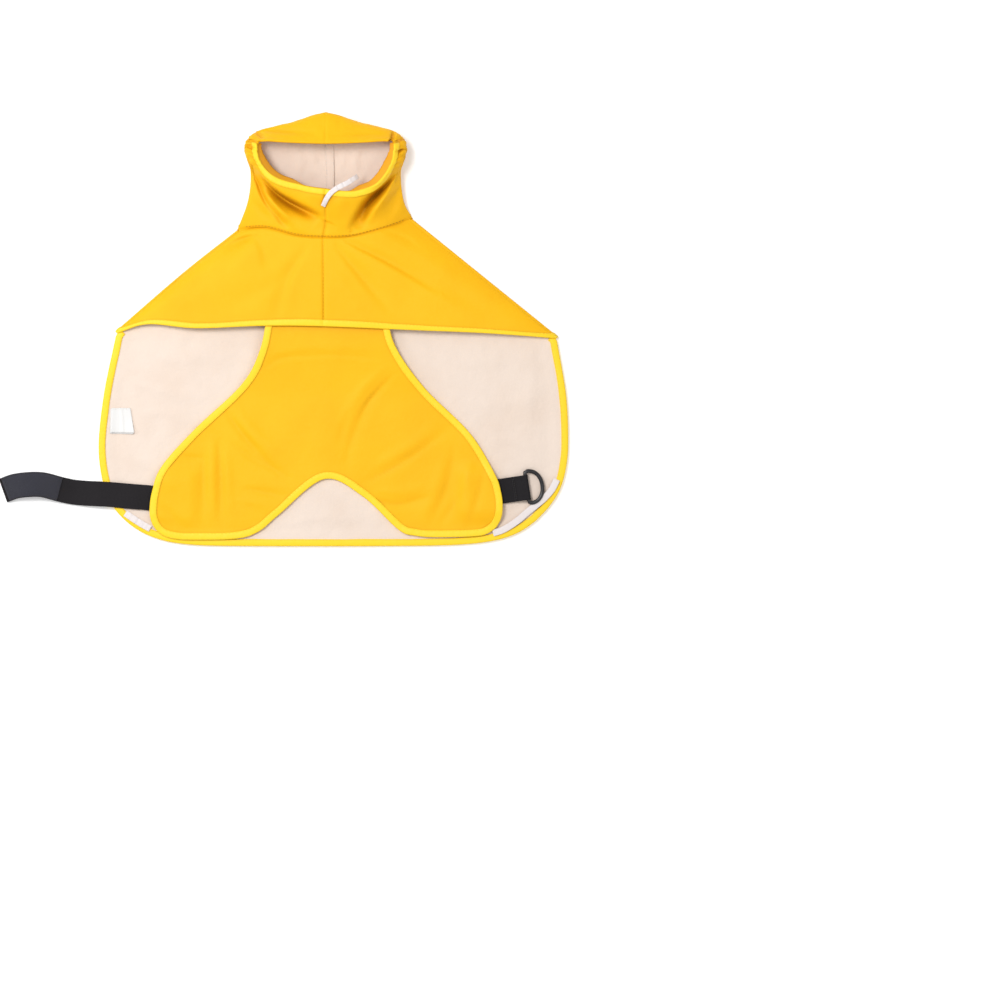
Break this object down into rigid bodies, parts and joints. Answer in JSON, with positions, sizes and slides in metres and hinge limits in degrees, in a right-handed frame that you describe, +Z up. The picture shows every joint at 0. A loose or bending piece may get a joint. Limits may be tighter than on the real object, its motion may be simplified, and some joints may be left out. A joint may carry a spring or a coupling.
{
  "type": "dog raincoat",
  "caption": "Hooded rain cape for a small dog, laid flat belly side up, with a belly flap, elastic strap and D-ring.",
  "frame": {"origin": "on the underside of the back panel, on the coat's centreline, 60 mm behind the chest hem", "axes": "+Z up out of the surface the coat lies on, +Y towards the hood, +X towards the side with the ring"},
  "size_m": [0.5697, 0.4319, 0.0349],
  "materials": {
    "back_panel": "matt coated rain cloth",
    "back_lining": "soft fine lining",
    "back_binding": "folded woven tape",
    "leash_flap": "matt coated rain cloth",
    "leash_binding": "folded woven tape",
    "chest_left": "matt coated rain cloth",
    "chest_right": "matt coated rain cloth",
    "chest_binding": "folded woven tape",
    "belly_flap": "matt coated rain cloth",
    "flap_binding": "folded woven tape",
    "hood_left": "matt coated rain cloth",
    "hood_right": "matt coated rain cloth",
    "hood_lining": "soft fine lining",
    "hood_seam_tape": "seam tape",
    "face_binding": "folded woven tape",
    "visor": "clear soft film",
    "visor_binding": "folded woven tape",
    "belly_strap": "elastic webbing",
    "hook_tape": "hook tape",
    "ring_tab": "elastic webbing",
    "d_ring": "moulded plastic",
    "elastic_left": "flat elastic",
    "elastic_right": "flat elastic",
    "care_label": "bare woven label",
    "chin_elastic": "flat elastic"
  },
  "bodies": {
    "coat": {"back_panel": "back_panel", "back_lining": "back_lining", "back_binding": "back_binding", "leash_flap": "leash_flap", "leash_binding": "leash_binding", "chest_left": "chest_left", "chest_right": "chest_right", "chest_binding": "chest_binding", "belly_flap": "belly_flap", "flap_binding": "flap_binding", "hood_left": "hood_left", "hood_right": "hood_right", "hood_lining": "hood_lining", "hood_seam_tape": "hood_seam_tape", "face_binding": "face_binding", "visor": "visor", "visor_binding": "visor_binding", "belly_strap": "belly_strap", "hook_tape": "hook_tape", "ring_tab": "ring_tab", "elastic_left": "elastic_left", "elastic_right": "elastic_right", "care_label": "care_label", "chin_elastic": "chin_elastic"},
    "ring": {"d_ring": "d_ring"}
  },
  "joints": [
    {"name": "ring_swing", "type": "hinge", "parent": "coat", "child": "ring", "pos_m": [0.202, -0.0974, 0.0065], "axis": [0.1478, -0.989, 0], "range_deg": [0, 150]}
  ]
}
